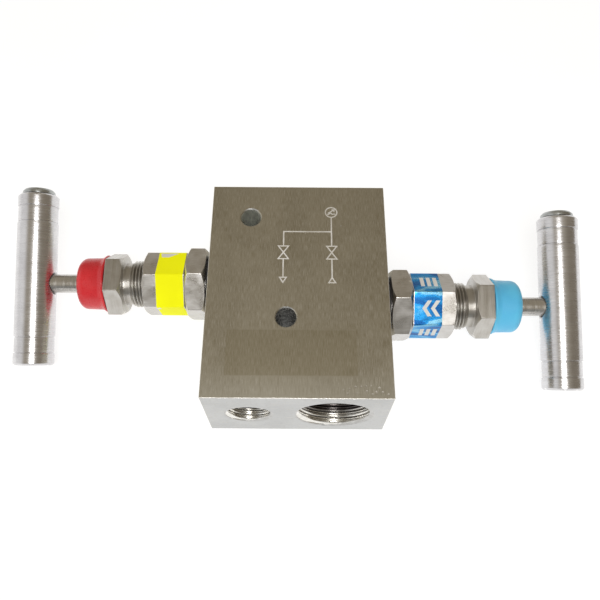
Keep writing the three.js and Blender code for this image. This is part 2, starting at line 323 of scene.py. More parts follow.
def to_object(bm, name, matrix):
    bmesh.ops.scale(bm, vec=(MM, MM, MM), verts=bm.verts)
    mesh = bpy.data.meshes.new(name)
    bm.to_mesh(mesh)
    bm.free()
    made = bpy.data.objects.new(name, mesh)
    made.matrix_world = matrix
    bpy.context.scene.collection.objects.link(made)
    return made


def cut(target, cutter):
    """Cuts one mesh out of another for good, and removes the cutter."""
    modifier = target.modifiers.new("cut", "BOOLEAN")
    modifier.operation = "DIFFERENCE"
    modifier.solver = "MANIFOLD"
    modifier.object = cutter
    bpy.context.view_layer.update()
    evaluated = target.evaluated_get(bpy.context.evaluated_depsgraph_get())
    mesh = bpy.data.meshes.new_from_object(evaluated)
    target.modifiers.clear()
    old = target.data
    target.data = mesh
    bpy.data.meshes.remove(old)
    bpy.data.objects.remove(cutter)


def place(made, body, node, material, sharp=math.radians(32)):
    """Gives a finished piece its shading, material and body, and hides the CAD node that it stands for."""
    made.data.shade_smooth()
    made.data.set_sharp_from_angle(angle=sharp)
    weighted = made.modifiers.new("normals", "WEIGHTED_NORMAL")
    weighted.keep_sharp = True
    made.data.materials.clear()
    made.data.materials.append(material)
    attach(made, body)
    if node:
        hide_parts(node)


# --- Materials --------------------------------------------------------------------------------

class NodeTree:
    """An empty node tree with helpers for its nodes."""

    def __init__(self, owner):
        owner.use_nodes = True
        self.tree = owner.node_tree
        self.tree.nodes.clear()

    def node(self, kind, **settings):
        made = self.tree.nodes.new("ShaderNode" + kind)
        for key, value in settings.items():
            setattr(made, key, value)
        return made

    def link(self, output, target):
        self.tree.links.new(output, target)

    def put(self, target, value):
        """Sets a socket to a number or colour, or links it to an output."""
        if isinstance(value, bpy.types.NodeSocket):
            self.link(value, target)
        else:
            target.default_value = value

    def split(self, vector):
        made = self.node("SeparateXYZ")
        self.link(vector, made.inputs[0])
        return made.outputs

    def ramp(self, value, low, high, start=0.0, end=1.0):
        """Maps a value from low..high to start..end, smoothly and clamped."""
        made = self.node("MapRange", interpolation_type="SMOOTHSTEP")
        self.link(value, made.inputs["Value"])
        for key, number in zip(("From Min", "From Max", "To Min", "To Max"), (low, high, start, end)):
            made.inputs[key].default_value = number
        return made.outputs["Result"]

    def maths(self, operation, first, second=0.0):
        made = self.node("Math", operation=operation)
        self.put(made.inputs[0], first)
        self.put(made.inputs[1], second)
        return made.outputs[0]

    def mix(self, factor, first, second):
        made = self.node("Mix", data_type="RGBA")
        self.put(made.inputs["Factor"], factor)
        for socket, value in ((made.inputs[6], first), (made.inputs[7], second)):
            self.put(socket, value if isinstance(value, bpy.types.NodeSocket) else (*value, 1))
        return made.outputs[2]


class Shader(NodeTree):
    """A Principled material that varies over its surface."""

    def __init__(self, name):
        self.material = bpy.data.materials.new(name)
        super().__init__(self.material)
        self.surface = self.node("BsdfPrincipled")
        self.link(self.surface.outputs[0], self.node("OutputMaterial").inputs["Surface"])

    def place(self, scale=(1, 1, 1)):
        """Object coordinates in millimetres, stretched."""
        mapping = self.node("Mapping")
        mapping.inputs["Scale"].default_value = [v / MM for v in scale]
        self.link(self.node("TexCoord").outputs["Object"], mapping.inputs["Vector"])
        return mapping.outputs["Vector"]

    def noise(self, scale, detail, roughness, distortion=0.0):
        """Noise with this many cells to the millimetre along each axis."""
        made = self.node("TexNoise")
        self.link(self.place(scale), made.inputs["Vector"])
        settings = {"Scale": 1, "Detail": detail, "Roughness": roughness, "Distortion": distortion}
        for key, value in settings.items():
            made.inputs[key].default_value = value
        return made.outputs["Fac"]

    def blend(self, factor, first, second):
        """Like mix, for plain numbers."""
        made = self.node("Mix", data_type="FLOAT")
        self.put(made.inputs["Factor"], factor)
        self.put(made.inputs[2], first)
        self.put(made.inputs[3], second)
        return made.outputs[0]

    def bump(self, height, strength, distance, before=None):
        made = self.node("Bump")
        made.inputs["Strength"].default_value = strength
        made.inputs["Distance"].default_value = distance * MM
        self.link(height, made.inputs["Height"])
        if before is not None:
            self.link(before, made.inputs["Normal"])
        return made.outputs["Normal"]

    def edge(self, low=0.51, high=0.6):
        """1 on worn convex edges, 0 elsewhere."""
        geometry = self.node("NewGeometry")
        return self.ramp(geometry.outputs["Pointiness"], low, high)

    def painted_crevice_shade(self, low=0.42, high=0.49):
        """Painted shade: 1 in inner corners and thread roots, 0 elsewhere."""
        geometry = self.node("NewGeometry")
        return self.ramp(geometry.outputs["Pointiness"], low, high, 1.0, 0.0)

    def finish(self, colour, roughness, normal=None, metallic=1.0, **constants):
        self.put(self.surface.inputs["Base Color"], colour)
        self.put(self.surface.inputs["Roughness"], roughness)
        self.surface.inputs["Metallic"].default_value = metallic
        if normal is not None:
            self.link(normal, self.surface.inputs["Normal"])
        for key, value in constants.items():
            self.surface.inputs[key.replace("_", " ")].default_value = value
        return self.material


def turned_steel(name, light, dark, rough=(0.24, 0.38), rings=9.0, bump=0.12, crevice_shade_strength=0.6):
    """Steel turned about local Y: fine rings and slow stains, bright edges, and painted shade darkening its
    inner corners.
    """
    s = Shader(name)
    rings_fine = s.noise((0.15, rings, 0.15), 4, 0.6)
    rings_broad = s.noise((0.05, rings / 6, 0.05), 2, 0.5)
    stains = s.noise((0.22, 0.22, 0.22), 4, 0.6, 0.4)
    tone = s.maths("ADD", s.maths("MULTIPLY", rings_fine, 0.55), s.maths("MULTIPLY", stains, 0.45))
    colour = s.mix(s.ramp(tone, 0.36, 0.64), dark, light)
    colour = s.mix(s.edge(), colour, [min(1, c * 1.25) for c in light])
    # Painted shade: inner corners and thread roots darkened nearly to black.
    colour = s.mix(s.maths("MULTIPLY", s.painted_crevice_shade(), crevice_shade_strength), colour, [c * 0.18 for c in dark])
    roughness = s.ramp(rings_broad, 0.3, 0.7, *rough)
    normal = s.bump(rings_fine, bump, 0.02)
    around = s.node("Tangent", direction_type="RADIAL", axis="Y")
    s.link(around.outputs[0], s.surface.inputs["Tangent"])
    return s.finish(colour, roughness, normal, Anisotropic=0.5, Anisotropic_Rotation=0.25)


def drawn_steel(name, light, dark, rough=(0.28, 0.44), bump=0.18):
    """Hexagon bar and milled flats: faint lines along local Y and a slightly pitted, stained skin."""
    s = Shader(name)
    lines = s.noise((5.0, 0.35, 5.0), 4, 0.6)
    grit = s.noise((3.2, 3.2, 3.2), 3, 0.7)
    stains = s.noise((0.16, 0.16, 0.16), 4, 0.6, 0.6)
    tone = s.maths("ADD", s.maths("MULTIPLY", lines, 0.4), s.maths("MULTIPLY", stains, 0.6))
    colour = s.mix(s.ramp(tone, 0.38, 0.62), dark, light)
    colour = s.mix(s.edge(0.505, 0.56), colour, [min(1, c * 1.3) for c in light])
    roughness = s.ramp(stains, 0.35, 0.65, *rough)
    normal = s.bump(lines, bump, 0.02)
    normal = s.bump(grit, bump * 0.8, 0.02, normal)
    return s.finish(colour, roughness, normal, Anisotropic=0.25)


def vinyl(name, light, dark, rough, sheen, painted_glow=0.0, ior=1.5):
    """Soft plastic or film: uneven colour, faint ripples and scuffs. An emission strength makes it give off
    its own colour, painted light beyond what the lamps give.
    """
    s = Shader(name)
    clouds = s.noise((0.12, 0.12, 0.12), 3, 0.5)
    grain = s.noise((2.2, 2.2, 2.2), 3, 0.6)
    ripples = s.noise((0.35, 0.12, 0.35), 2, 0.5, 0.8)
    scuffs = s.ramp(s.noise((0.5, 1.7, 0.5), 5, 0.7, 1.2), 0.6, 0.74)
    colour = s.mix(s.ramp(clouds, 0.3, 0.7), dark, light)
    colour = s.mix(s.maths("MULTIPLY", scuffs, 0.25), colour, [min(1, c * 1.6 + 0.05) for c in light])
    even = s.ramp(grain, 0.3, 0.7, rough - 0.05, rough + 0.06)
    roughness = s.maths("ADD", even, s.maths("MULTIPLY", scuffs, 0.12))
    normal = s.bump(ripples, 0.25, 0.25)
    normal = s.bump(grain, 0.08, 0.05, normal)
    if painted_glow:
        s.link(colour, s.surface.inputs["Emission Color"])
    constants = {"IOR": ior, "Sheen_Weight": sheen, "Emission_Strength": painted_glow}
    return s.finish(colour, roughness, normal, metallic=0.0, **constants)


def brushed_block():
    """Brushed faces: lines along Y on top and sides, along X on the ends, with stains and duller panels.
    The top and sides are painted darker and warmer than the ends, as a painted reflection of a dim warm
    room, and the top grows paler towards its front edge, as a painted sheen."""
    s = Shader("block_steel")
    facing = s.split(s.node("TexCoord").outputs["Normal"])
    facing_end = s.ramp(s.maths("ABSOLUTE", facing["Y"]), 0.4, 0.7)
    lines_y = s.noise((9.0, 0.35, 9.0), 6, 0.75)
    lines_x = s.noise((0.25, 9.0, 9.0), 5, 0.65)
    lines = s.blend(facing_end, lines_y, lines_x)
    stains = s.noise((0.06, 0.035, 0.06), 4, 0.6, 0.5)
    streaks = s.noise((1.1, 0.03, 1.1), 4, 0.6)
    # Painted reflection: top and sides darker and warmer than the front and back ends.
    top = s.mix(s.ramp(stains, 0.35, 0.65), (0.365, 0.33, 0.245), (0.44, 0.405, 0.315))
    end = s.mix(s.ramp(stains, 0.35, 0.65), (0.43, 0.44, 0.45), (0.50, 0.51, 0.52))
    colour = s.mix(facing_end, top, end)
    # Painted sheen: top and sides grow paler within 12 mm of the front edge.
    front = s.ramp(s.split(s.place())["Y"], BLOCK_LOW.y + 12, BLOCK_LOW.y, 0.0, 0.45)
    colour = s.mix(front, colour, s.mix(facing_end, (0.60, 0.59, 0.53), end))
    colour = s.mix(s.ramp(lines, 0.42, 0.62, 0.0, 0.55), colour, (0.70, 0.68, 0.62))
    colour = s.mix(s.ramp(streaks, 0.5, 0.72, 0.0, 0.25), colour, (0.36, 0.32, 0.24))
    panel = panel_mask(s)
    dull = s.mix(s.ramp(lines, 0.38, 0.62), (0.325, 0.29, 0.20), (0.43, 0.39, 0.30))
    colour = s.mix(panel, colour, dull)
    roughness = s.maths("ADD", s.ramp(lines, 0.3, 0.7, 0.34, 0.48), s.maths("MULTIPLY", panel, 0.04))
    normal = s.bump(lines, 0.3, 0.03)
    return s.finish(colour, roughness, normal)


def bored_steel(name, light, dark, rough, mottle, bump=0.12, shaded_from=None):
    """The inside of a port or hole, blotchy with old oil. From a given depth below the block's front and
    back
    faces on, it is painted dark: painted shade deep in the bore."""
    s = Shader(name)
    blotches = s.noise((mottle, mottle, mottle), 4, 0.65, 0.5)
    fine = s.noise((4.0, 4.0, 4.0), 3, 0.6)
    colour = s.mix(s.ramp(blotches, 0.32, 0.68), dark, light)
    if shaded_from:
        # Painted shade: darker with depth into the bore.
        depth = s.maths("SUBTRACT", BLOCK_HIGH.y, s.maths("ABSOLUTE", s.split(s.place())["Y"]))
        colour = s.mix(s.ramp(depth, shaded_from, shaded_from + 2.0), colour, (0.17, 0.155, 0.15))
    normal = s.bump(fine, bump, 0.02)
    return s.finish(colour, s.ramp(blotches, 0.3, 0.7, *rough), normal)


# The duller rectangles on the block's top face: middle, half sizes and strength.
PANELS = [((-1.7, -21.5), (18.7, 6.9), 0.75), ((10.0, -19.1), (8.2, 6.65), 0.25)]


def panel_mask(s):
    """How dull the block's top face is, from 0 to 1."""
    x, y, z = s.split(s.place())
    total = None
    for (centre_x, centre_y), (half_x, half_y), strength in PANELS:
        within = strength
        for value, centre, half in ((x, centre_x, half_x), (y, centre_y, half_y)):
            distance = s.maths("ABSOLUTE", s.maths("SUBTRACT", value, centre))
            within = s.maths("MULTIPLY", s.ramp(distance, half - 0.25, half + 0.25, 1.0, 0.0), within)
        total = within if total is None else s.maths("MAXIMUM", total, within)
    return s.maths("MULTIPLY", total, s.ramp(z, BLOCK_HIGH.z - 0.3, BLOCK_HIGH.z - 0.1))


BLOCK_STEEL = brushed_block()
EDGE_STEEL = drawn_steel("block_edge", (0.72, 0.70, 0.66), (0.52, 0.50, 0.45), (0.34, 0.46), 0.08)
# Painted light: the rear mounting hole's walls are pale, as if lit through the hole.
PAINTED_LIGHT_HOLE_STEEL = bored_steel("painted_light_hole_steel", (0.72, 0.73, 0.68), (0.62, 0.63, 0.58), (0.6, 0.7), 0.4)
PORT_STEEL = bored_steel("port_steel", (0.90, 0.89, 0.86), (0.76, 0.74, 0.69), (0.19, 0.25), 0.25,
                         bump=0.03, shaded_from=3.0)
MOUTH_STEEL = bored_steel("mouth_steel", (0.55, 0.545, 0.53), (0.42, 0.415, 0.40), (0.26, 0.36), 0.5)
HOLE_STEEL = bored_steel("hole_steel", (0.80, 0.80, 0.78), (0.20, 0.20, 0.19), (0.45, 0.60), 1.1)
NUT_STEEL = drawn_steel("nut_steel", (0.69, 0.675, 0.66), (0.54, 0.52, 0.49), (0.27, 0.42))
GLAND_STEEL = turned_steel("gland_steel", (0.58, 0.565, 0.535), (0.45, 0.425, 0.385), (0.28, 0.42),
                           crevice_shade_strength=0.9)
STEM_STEEL = turned_steel("stem_steel", (0.68, 0.665, 0.64), (0.50, 0.48, 0.45), (0.18, 0.30), rings=7)
INNER_STEEL = turned_steel("inner_steel", (0.62, 0.61, 0.60), (0.48, 0.47, 0.46))
HANDLE_STEEL = turned_steel("handle_steel", (0.74, 0.735, 0.745), (0.60, 0.59, 0.60), (0.25, 0.33),
                            rings=12.0, bump=0.22, crevice_shade_strength=0.85)
PLUG_STEEL = turned_steel("plug_steel", (0.52, 0.54, 0.54), (0.38, 0.39, 0.38), (0.30, 0.42))
SCREW_STEEL = turned_steel("screw_steel", (0.50, 0.50, 0.50), (0.36, 0.36, 0.36), (0.32, 0.45))
SEAL_RUBBER = vinyl("seal_rubber", (0.035, 0.035, 0.038), (0.02, 0.02, 0.022), 0.6, 0.1)
PACKING = vinyl("packing", (0.88, 0.87, 0.83), (0.78, 0.76, 0.71), 0.5, 0.1)
RED_VINYL = vinyl("red_cap", (0.80, 0.035, 0.045), (0.64, 0.02, 0.028), 0.30, 0.05)
BLUE_VINYL = vinyl("blue_cap", (0.14, 0.66, 1.0), (0.11, 0.57, 0.95), 0.46, 0.15)
# Painted light: the yellow band gives off its own colour.
YELLOW_FILM = vinyl("yellow_band", (0.90, 0.91, 0.001), (0.85, 0.85, 0.001), 0.6, 0.0, 0.22, 1.25)
WHITE_FILM = vinyl("band_mark", (0.90, 0.90, 0.88), (0.80, 0.80, 0.78), 0.4, 0.0)


def foil():
    """Metallised blue film: navy and cyan stripes round it that run into each other, partly its own uneven
    tone and partly painted reflection, with slow creases.
    """
    s = Shader("blue_band")
    creases = s.noise((0.3, 0.3, 0.3), 3, 0.5, 0.6)
    tone_and_reflection_stripes = s.noise((0.26, 0.06, 0.26), 2, 0.5, 0.8)
    fine = s.noise((3, 3, 3), 2, 0.5)
    colour = s.mix(s.ramp(tone_and_reflection_stripes, 0.36, 0.52), (0.008, 0.11, 0.36), (0.02, 0.28, 0.66))
    # Painted reflection: pale cyan stripes along the band stand in for reflections.
    colour = s.mix(s.ramp(tone_and_reflection_stripes, 0.52, 0.62), colour, (0.24, 0.57, 0.80))
    normal = s.bump(creases, 0.2, 0.15)
    return s.finish(colour, s.ramp(fine, 0.3, 0.7, 0.24, 0.34), normal, metallic=0.8)


BLUE_FOIL = foil()
ENGRAVING = drawn_steel("engraving", (0.80, 0.80, 0.78), (0.70, 0.70, 0.67), (0.5, 0.65), 0.1)


# --- The block --------------------------------------------------------------------------------

BLOCK_EDGE = 0.12       # bevel


def block_box():
    bm = bmesh.new()
    bmesh.ops.create_cube(bm, size=1)
    size, middle = BLOCK_HIGH - BLOCK_LOW, (BLOCK_HIGH + BLOCK_LOW) / 2
    bmesh.ops.scale(bm, vec=size, verts=bm.verts)
    bmesh.ops.translate(bm, vec=middle, verts=bm.verts)
    bmesh.ops.bevel(bm, geom=bm.edges, offset=BLOCK_EDGE, segments=3, profile=0.5, affect="EDGES")
    return bm


AXIS_Z = (BLOCK_HIGH.z + BLOCK_LOW.z) / 2
OVERCUT = 1.0           # how far a cutter runs past the face that it cuts
MOUTH_SLOPE = 2.2       # how much the radius of a port's chamfer grows for each millimetre outward
BORE_STEP = 0.6         # how much smaller a port's radius is below its thread
DRILL_POINT = 0.3       # how far a drill's point reaches, for each millimetre of its radius


def inward(face_y, x):
    """A frame at a port's mouth with local Y running into the block."""
    sign = 1 if face_y < 0 else -1
    return axes_matrix(Vector((sign, 0, 0)), Vector((0, sign, 0)), UP, Vector((x, face_y, AXIS_Z)))


def cut_port(target, port, x, face_y, name):
    bore, depth = port["crest"] - BORE_STEP, port["depth"]

    def rows(angle):
        thread = thread_column(-OVERCUT, port["threaded"], angle, port, PIPE_TAPER, form=WORN_THREAD)
        point = depth + bore * DRILL_POINT
        return [(0, -OVERCUT), *thread, (bore, port["threaded"]), (bore, depth), (0, point)]

    frame_at = inward(face_y, x)
    cut(target, to_object(swept(rows, round_angles(96), THREAD_SPAN), name + "_thread", frame_at))
    mouth, inner = port["mouth"], port["crest"] - OVERCUT
    end = (mouth - inner) / MOUTH_SLOPE
    cone = [(0, -OVERCUT), (mouth + OVERCUT * MOUTH_SLOPE, -OVERCUT), (inner, end), (0, end)]
    cut(target, to_object(turned(cone, 96), name + "_mouth", frame_at))


def cut_mount_hole(target, x, y):
    radius, chamfer = MOUNT_HOLE_RADIUS, 0.3
    low, high, wide = BLOCK_LOW.z, BLOCK_HIGH.z, radius + chamfer + OVERCUT
    outline = [
        (0, low - OVERCUT), (wide, low - OVERCUT), (radius, low + chamfer),
        (radius, high - chamfer), (wide, high + OVERCUT), (0, high + OVERCUT),
    ]
    upright = axes_matrix(Vector((1, 0, 0)), UP, Vector((0, -1, 0)), Vector((x, y, 0)))
    cut(target, to_object(turned(outline, 64), "mount_hole", upright))


SEAT_BORE, SEAT_STATION, CHAMBER_RADIUS, CHAMBER_END, SOCKET_RADIUS = 2.0, 13.0, 4.9, 17.6, 7.3
DRILLING_X = {"inlet": 8.5, "gauge": 15.2, "vent": -15.2}
DRILLING_RADIUS = {"inlet": 2.5, "gauge": 2.2, "vent": 2.0}


def cut_cavity(target, valve, bore_from):
    end = BLOCK_HIGH.x + OVERCUT
    outline = [
        (0, bore_from), (SEAT_BORE, bore_from), (SEAT_BORE, SEAT_STATION), (CHAMBER_RADIUS, SEAT_STATION),
        (CHAMBER_RADIUS, CHAMBER_END), (SOCKET_RADIUS, CHAMBER_END), (SOCKET_RADIUS, end), (0, end),
    ]
    cut(target, to_object(turned(outline, 64), valve + "_cavity", valve_frame(valve)))


def cut_drilling(target, name, y_from, y_to):
    outline = [(0, y_from), (DRILLING_RADIUS[name], y_from), (DRILLING_RADIUS[name], y_to), (0, y_to)]
    level = axes_matrix(Vector((1, 0, 0)), Vector((0, 1, 0)), UP, Vector((DRILLING_X[name], 0, AXIS_Z)))
    cut(target, to_object(turned(outline, 32), name + "_drilling", level))


# Small dents in the top face: one beside the flow diagram, the rest near the front right corner.
DENT_DEPTH = 0.05
DENT_RADIUS = 1.4
DENTS = 14
DENT_AREA = ((12.0, 25.5), (-33.8, -31.0))
LONE_DENT = (13.1, 20.6)


def cut_dents(target):
    places = [LONE_DENT]
    spread = random.Random(7)
    while len(places) < DENTS + 1:
        there = tuple(spread.uniform(*limits) for limits in DENT_AREA)
        if all(math.dist(there, other) > 1.2 for other in places):
            places.append(there)
    bm = bmesh.new()
    for x, y in places:
        centre = Vector((x, y, BLOCK_HIGH.z + DENT_RADIUS - DENT_DEPTH * spread.uniform(0.5, 1.0)))
        at = Matrix.Translation(centre)
        bmesh.ops.create_icosphere(bm, subdivisions=4, radius=DENT_RADIUS, matrix=at)
    cut(target, to_object(bm, "dents", Matrix.Identity(4)))


def build_block():
    made = to_object(block_box(), "block_body", Matrix.Identity(4))
    cut_dents(made)
    front, back = BLOCK_LOW.y, BLOCK_HIGH.y
    cut_port(made, HALF_INCH, MAIN_PORT_X, front, "inlet")
    cut_port(made, HALF_INCH, MAIN_PORT_X, back, "gauge")
    cut_port(made, QUARTER_INCH, VENT_PORT_X, front, "vent")
    for x, y in MOUNT_HOLES:
        cut_mount_hole(made, x, y)
    cut_cavity(made, "isolate", DRILLING_X["inlet"])
    cut_cavity(made, "vent", -DRILLING_X["gauge"])
    isolate_y, vent_y = (valve_frame(v).translation.y / MM for v in ("isolate", "vent"))
    cut_drilling(made, "inlet", front + HALF_INCH["depth"] - OVERCUT, isolate_y + SEAT_BORE)
    cut_drilling(made, "gauge", isolate_y, back - HALF_INCH["depth"] + OVERCUT)
    cut_drilling(made, "vent", front + QUARTER_INCH["depth"] - OVERCUT, vent_y)
    place(made, "root", "block", BLOCK_STEEL, sharp=math.radians(42))
    for material in ZONE_MATERIALS[1:]:
        made.data.materials.append(material)
    for polygon in made.data.polygons:
        polygon.material_index = block_zone(polygon.center / MM)


# The block's zones and their materials. The rear mounting hole is painted paler than the other holes,
# as painted light showing through it.
OUTSIDE, EDGE, PORT, HOLE, PAINTED_LIGHT_HOLE, MOUTH = range(6)
ZONE_MATERIALS = [BLOCK_STEEL, EDGE_STEEL, PORT_STEEL, HOLE_STEEL, PAINTED_LIGHT_HOLE_STEEL, MOUTH_STEEL]
ON_FACE = 0.004         # how near to the block's box the polygons of its flat faces lie


def block_zone(point):
    """The zone of the block's skin at this point. Dents count as edges."""
    depths = [min(point[i] - BLOCK_LOW[i], BLOCK_HIGH[i] - point[i]) for i in range(3)]
    if sum(depth < BLOCK_EDGE for depth in depths) > 1:
        return EDGE
    if min(depths) < ON_FACE:
        return OUTSIDE
    in_mount = [math.hypot(point.x - x, point.y - y) < MOUNT_HOLE_RADIUS + 0.5 for x, y in MOUNT_HOLES]
    if depths[2] < 3 * DENT_DEPTH and min(depths[:2]) > 1:
        return OUTSIDE if any(in_mount) else EDGE
    if any(in_mount):
        return PAINTED_LIGHT_HOLE if in_mount[0] else HOLE
    if depths[1] > HALF_INCH["depth"] + 1:
        return HOLE
    for x, port in ((MAIN_PORT_X, HALF_INCH), (VENT_PORT_X, QUARTER_INCH)):
        radius = math.hypot(point.x - x, point.z - AXIS_Z)
        if radius < port["mouth"] + 0.1:
            on_cone = abs(radius + depths[1] * MOUTH_SLOPE - port["mouth"]) < 0.02
            return MOUTH if on_cone else PORT
    return HOLE


build_block()


# --- The engraved flow diagram ------------------------------------------------------------------

# Places are on the block's top face, apart from the marks in the gauge's dial, which start from its middle.
LINE = 0.4
THIN_LINE = 0.35
GAUGE_AT = (10.2, 25.5)
GAUGE_RADIUS = 1.8
DIAL_MARKS = [
    [(-1.2, -0.9), (-0.1, -0.2), (0.25, -0.65), (1.3, -0.6)],
    [(-1.0, -0.35), (0.75, 0.85)],
    [(0.1, 0.95), (0.95, 1.0), (0.85, 0.2)],
]
MAIN_X, BRANCH_X = 10.2, -4.5
TEE_Y = 18.4
VALVE_TOP, VALVE_LOW, VALVE_HALF = 13.25, 8.8, 1.55
LEG_END = 2.45
ARROW_HALF = 1.0
ARROW_HEIGHT = 1.7


def stroke(bm, points, width=LINE, closed=False):
    """A band of this width along a path, with mitred corners, a hair higher than the band before it."""
    path = [Vector(p) for p in points]
    count = len(path)
    left, right = [], []
    for i, here in enumerate(path):
        before = path[i - 1] if (closed or i) else None
        after = path[(i + 1) % count] if (closed or i < count - 1) else None
        inn = (here - before).normalized() if before is not None else (after - here).normalized()
        out = (after - here).normalized() if after is not None else inn
        across = Vector((-(inn + out).y, (inn + out).x)).normalized()
        scale = min(1.9, 1 / max(0.35, across.dot(Vector((-inn.y, inn.x)))))
        left.append(here + across * (width / 2 * scale))
        right.append(here - across * (width / 2 * scale))
    low, high = BLOCK_HIGH.z - 0.05, BLOCK_HIGH.z + 0.02 + 2e-5 * len(bm.verts)
    rings = []
    for side_points, z in ((left, high), (right, high), (right, low), (left, low)):
        rings.append([bm.verts.new((p.x, p.y, z)) for p in side_points])
    spans = range(count if closed else count - 1)
    for i in spans:
        j = (i + 1) % count
        for k in range(4):
            a, b = rings[k], rings[(k + 1) % 4]
            bm.faces.new((a[i], b[i], b[j], a[j]))
    if not closed:
        for i in (0, count - 1):
            bm.faces.new([corner[i] for corner in rings])


def build_diagram():
    bm = bmesh.new()
    gx, gy = GAUGE_AT
    dial = [(gx + GAUGE_RADIUS * math.cos(a), gy + GAUGE_RADIUS * math.sin(a)) for a in round_angles(40)]
    stroke(bm, dial[:-1], closed=True)
    for mark in DIAL_MARKS:
        stroke(bm, [(gx + x, gy + y) for x, y in mark], THIN_LINE)
    stroke(bm, [(MAIN_X, gy - GAUGE_RADIUS), (MAIN_X, VALVE_TOP)])
    stroke(bm, [(MAIN_X - LINE / 2, TEE_Y), (BRANCH_X, TEE_Y), (BRANCH_X, VALVE_TOP)])
    for x in (MAIN_X, BRANCH_X):
        middle = (x, (VALVE_TOP + VALVE_LOW) / 2)
        for y in (VALVE_TOP, VALVE_LOW):
            stroke(bm, [(x - VALVE_HALF, y), (x + VALVE_HALF, y), middle], closed=True)
        stroke(bm, [(x, VALVE_LOW), (x, LEG_END)])
    low = LEG_END - ARROW_HEIGHT
    left, right = BRANCH_X - ARROW_HALF, BRANCH_X + ARROW_HALF
    stroke(bm, [(left, LEG_END), (right, LEG_END), (BRANCH_X, low)], closed=True)
    left, right = MAIN_X - ARROW_HALF, MAIN_X + ARROW_HALF
    stroke(bm, [(MAIN_X, LEG_END), (left, low), (right, low)], closed=True)
    bmesh.ops.recalc_face_normals(bm, faces=bm.faces)
    made = to_object(bm, "flow_diagram", Matrix.Identity(4))
    place(made, "root", None, ENGRAVING)


build_diagram()


# --- Pieces on a valve's axis -------------------------------------------------------------------

def lock_nut():
    hexagon = Hexagon(LOCK_NUT_FLATS, 0.35)
    start, end, bore = LOCK_NUT["from"], LOCK_NUT["to"], LOCK_NUT["bore"]

    def rows(angle):
        lead_in = [(bore, end - 0.5), (bore, start + 0.5), (bore + 0.5, start)]
        outside = hexagon.chamfered(angle, start, end, NUT_CHAMFER, NUT_CHAMFER)
        return filleted([*lead_in, *outside, (bore + 0.5, end)], closed=True)

    return swept(rows, hexagon.angles())


def bonnet():
    b = BONNET
    hexagon = Hexagon(BONNET_FLATS, 0.3)
    shank, under = b["shank"], b["shank"] - 0.6
    bores = [
        (b["gland_bore"] + 0.3, b["to"], 0.05), (b["gland_bore"], b["to"] - 0.3, 0.05),
        (b["gland_bore"], b["packing_to"]), (b["packing_bore"], b["packing_to"]),
        (b["packing_bore"], b["back_seat_to"]), (b["back_seat"], b["back_seat_to"]),
        (b["back_seat"], b["back_seat_from"]), (b["thread_bore"], b["back_seat_from"]),
        (b["thread_bore"], b["from"] + 0.4), (b["thread_bore"] + 0.4, b["from"]),
    ]

    def rows(angle):
        outline = [
            (under, b["from"], 0.1), (shank, b["from"] + 0.6, 0.1), (shank, b["hex_from"] - 1.0, 0.2),
            (under, b["hex_from"] - 0.5, 0.2), (under, b["hex_from"]),
            *hexagon.chamfered(angle, b["hex_from"], b["to"], 0, BONNET_CHAMFER), *bores,
        ]
        return filleted(outline, closed=True)

    return swept(rows, hexagon.angles())


def gland_bolt():
    g = GLAND
    hexagon = Hexagon(GLAND_FLATS, 0.3)
    mouth = g["bore"] + 0.8

    def rows(angle):
        thread = thread_column(g["from"], g["thread_to"], angle, GLAND_THREAD, chamfer=0.5)
        rest = [
            (g["neck"], g["thread_to"] + 0.1, 0.2), (g["neck"], g["hex_from"], 0.3),
            *hexagon.chamfered(angle, g["hex_from"], g["hex_to"], GLAND_CHAMFER, 0),
            (g["boss"], g["hex_to"], 0.2), (g["boss"], g["to"], 0.4), (g["bore"], g["to"], 0.3),
            (g["bore"], g["from"] + 0.8, 0.2), (mouth, g["from"]),
        ]
        return [(mouth, g["from"]), *thread, *filleted([thread[-1], *rest])[1:]]

    return swept(rows, hexagon.angles(), THREAD_SPAN)


def colour_band():
    hexagon = Hexagon(BONNET_FLATS + 2 * BAND["thickness"], BAND["round"])
    inner = Hexagon(BONNET_FLATS - 0.04, BAND["round"] - 0.02)

    def rows(angle):
        out, within = hexagon.radius(angle), inner.radius(angle)
        start, end = BAND["from"], BAND["to"]
        return filleted([(within, start), (out, start, 0.03), (out, end, 0.03), (within, end)], closed=True)

    return swept(rows, hexagon.angles())


def dust_cap(seed, flare):
    """A dipped cap, open towards the block. Its lip stands out by the flare, and its wall is wavy."""
    start, end, wall, hole = CAP["from"], CAP["to"], CAP["outer"], CAP["hole"]
    lip = [
        (CAP["bore"], start, 0.2), (wall + flare * 0.7, start - 0.05, 0.3), (wall + flare, start + 0.4, 0.4),
        (wall + flare * 0.45, start + 1.1, 0.6), (wall + 0.05, start + 1.9, 1.5),
    ]
    closed_end = [
        (wall - 0.03, end, 3.0, 12), (hole, end + 0.15, 0.3), (hole, CAP["web"], 0.2),
        (CAP["bore"], CAP["web"], 1.2, 6),
    ]
    bm = turned(lip + closed_end, 128, closed=True)
    offset = Vector((seed * 7.3, 0, 0))
    for vertex in bm.verts:
        wave = noise.noise(vertex.co * 0.22 + offset)
        fine = noise.noise(vertex.co * 0.9 + offset)
        outward = Vector((vertex.co.x, 0, vertex.co.z)).normalized()
        vertex.co += outward * (0.09 * wave + 0.02 * fine)
    return bm


def stuffing_ring(valve, part):
    return ring(STUFFING_RING["inner"], STUFFING_RING["outer"], *stations(valve, part), 0.12, 48)


def needle_tip(lift):
    n = NEEDLE
    outline = [
        (0, n["from"] - 0.1), (n["blunt"], n["from"], 0.2), (n["shank"], n["cone_to"], 0.4),
        (n["shank"], n["shank_to"], 0.2), (n["neck"], n["shank_to"], 0.1), (n["neck"], n["head_from"], 0.1),
        (n["head"], n["head_from"], 0.2), (n["head"], n["to"], 0.2), (0, n["to"]),
    ]
    return turned([(r, s + lift, *f) for r, s, *f in outline], 64)


